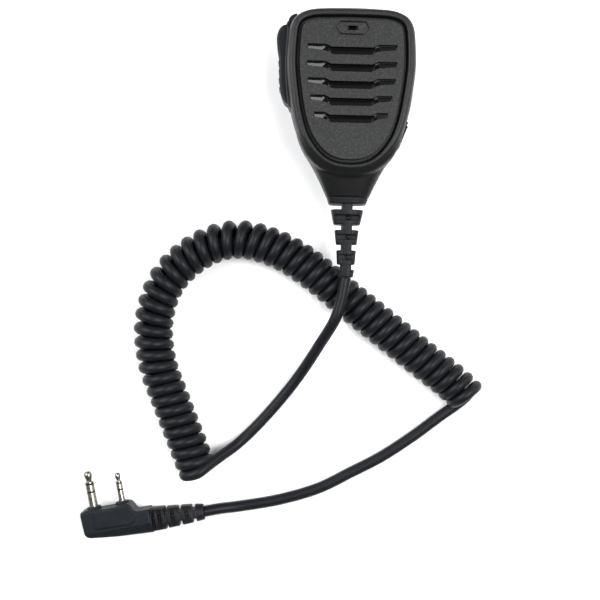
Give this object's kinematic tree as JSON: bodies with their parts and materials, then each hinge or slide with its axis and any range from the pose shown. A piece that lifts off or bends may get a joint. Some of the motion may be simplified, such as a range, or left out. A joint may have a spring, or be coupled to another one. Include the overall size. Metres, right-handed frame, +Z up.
{
  "type": "hand microphone",
  "caption": "Palm-size speaker microphone with a push-to-talk bar, louvred grille, swivelling belt clip, earphone jack with cover, and a curly cord to a right-angle two-pin plug.",
  "frame": {"origin": "on the outer face of the belt clip's jaw, below the clip's swivel axis", "axes": "+Z up out of the grille face, +Y towards the head's top, away from its cord, +X to the right seen from above"},
  "size_m": [0.1613, 0.2128, 0.0353],
  "materials": {
    "housing_plastic": "satin moulded",
    "grille_plastic": "fine spark-eroded texture",
    "rear_plastic": "fine texture",
    "button_plastic": "satin",
    "rubber": "matt",
    "cord_jacket": "matt polyurethane",
    "relief_rubber": "matt moulded",
    "plug_plastic": "fine texture",
    "pin_nickel": "nickel plated",
    "pin_insulator": "satin",
    "steel": "zinc plated",
    "brass": "turned",
    "nylon": "natural",
    "speaker_steel": "pressed",
    "magnet_ferrite": "sintered",
    "speaker_paper": "treated paper",
    "cloth": "woven",
    "foam": "foam",
    "capsule_metal": "drawn can",
    "board_laminate": "solder mask",
    "component_black": "moulded",
    "switch_red": "moulded",
    "wire_red": "insulated wire"
  },
  "bodies": {
    "head": {"front_housing": "housing_plastic", "grille_panel": "grille_plastic", "rear_housing": "rear_plastic", "case_screws": "steel", "ptt_frame": "button_plastic", "ptt_switch": "component_black", "grille_cloth": "cloth", "speaker_gasket": "foam", "speaker_frame": "speaker_steel", "speaker_cone": "speaker_paper", "speaker_magnet": "magnet_ferrite", "mic_grommet": "rubber", "mic_capsule": "capsule_metal", "circuit_board": "board_laminate", "board_components": "component_black", "board_screws": "steel", "jack_socket": "component_black", "jack_cover_root": "rubber", "lead_wires": "wire_red", "cable_end": "cord_jacket", "cable_tie": "nylon", "clip_insert": "brass", "clip_washer": "nylon", "clip_screw": "steel", "strain_relief": "relief_rubber", "mic_tail": "cord_jacket", "curl": "cord_jacket", "plug_tail": "cord_jacket", "plug_relief": "relief_rubber", "plug_shell": "plug_plastic", "big_pin_tip": "pin_nickel", "big_pin_ring": "pin_nickel", "big_pin_sleeve": "pin_nickel", "big_pin_insulators": "pin_insulator", "small_pin_tip": "pin_nickel", "small_pin_ring": "pin_nickel", "small_pin_sleeve": "pin_nickel", "small_pin_insulators": "pin_insulator"},
    "ptt_button": {"ptt_button": "button_plastic"},
    "ptt_plunger": {"ptt_plunger": "switch_red"},
    "jack_cover": {"jack_cover": "rubber"},
    "clip_base": {"clip_base": "rear_plastic", "clip_pin": "steel", "clip_spring": "steel"},
    "clip_jaw": {"clip_jaw": "rear_plastic"}
  },
  "joints": [
    {"name": "ptt_press", "type": "hinge", "parent": "head", "child": "ptt_button", "pos_m": [-0.0242, 0.0268, 0.022], "axis": [0, 0, 1], "range_deg": [0, 2.2], "stiffness_Nm_per_rad": 1, "springref_deg": -1.72},
    {"name": "ptt_plunger_slide", "type": "slide", "parent": "head", "child": "ptt_plunger", "axis": [1, 0, 0], "range_m": [0, 0.00077]},
    {"name": "jack_cover_hinge", "type": "hinge", "parent": "head", "child": "jack_cover", "pos_m": [0.0222, -0.01167, 0.0215], "axis": [0, 0, 1], "range_deg": [0, 100], "stiffness_Nm_per_rad": 0.0005},
    {"name": "clip_swivel", "type": "hinge", "parent": "head", "child": "clip_base", "pos_m": [0, 0, 0.009], "axis": [0, 0, 1], "continuous": true},
    {"name": "clip_jaw_hinge", "type": "hinge", "parent": "clip_base", "child": "clip_jaw", "pos_m": [0, 0.014, 0.0054], "axis": [1, 0, 0], "range_deg": [0, 22], "stiffness_Nm_per_rad": 0.3, "springref_deg": -34.38, "deforming": ["clip_spring"]}
  ],
  "couplings": [
    {"joint": "ptt_plunger_slide", "follows": "ptt_press", "m_per_rad": 0.02}
  ]
}
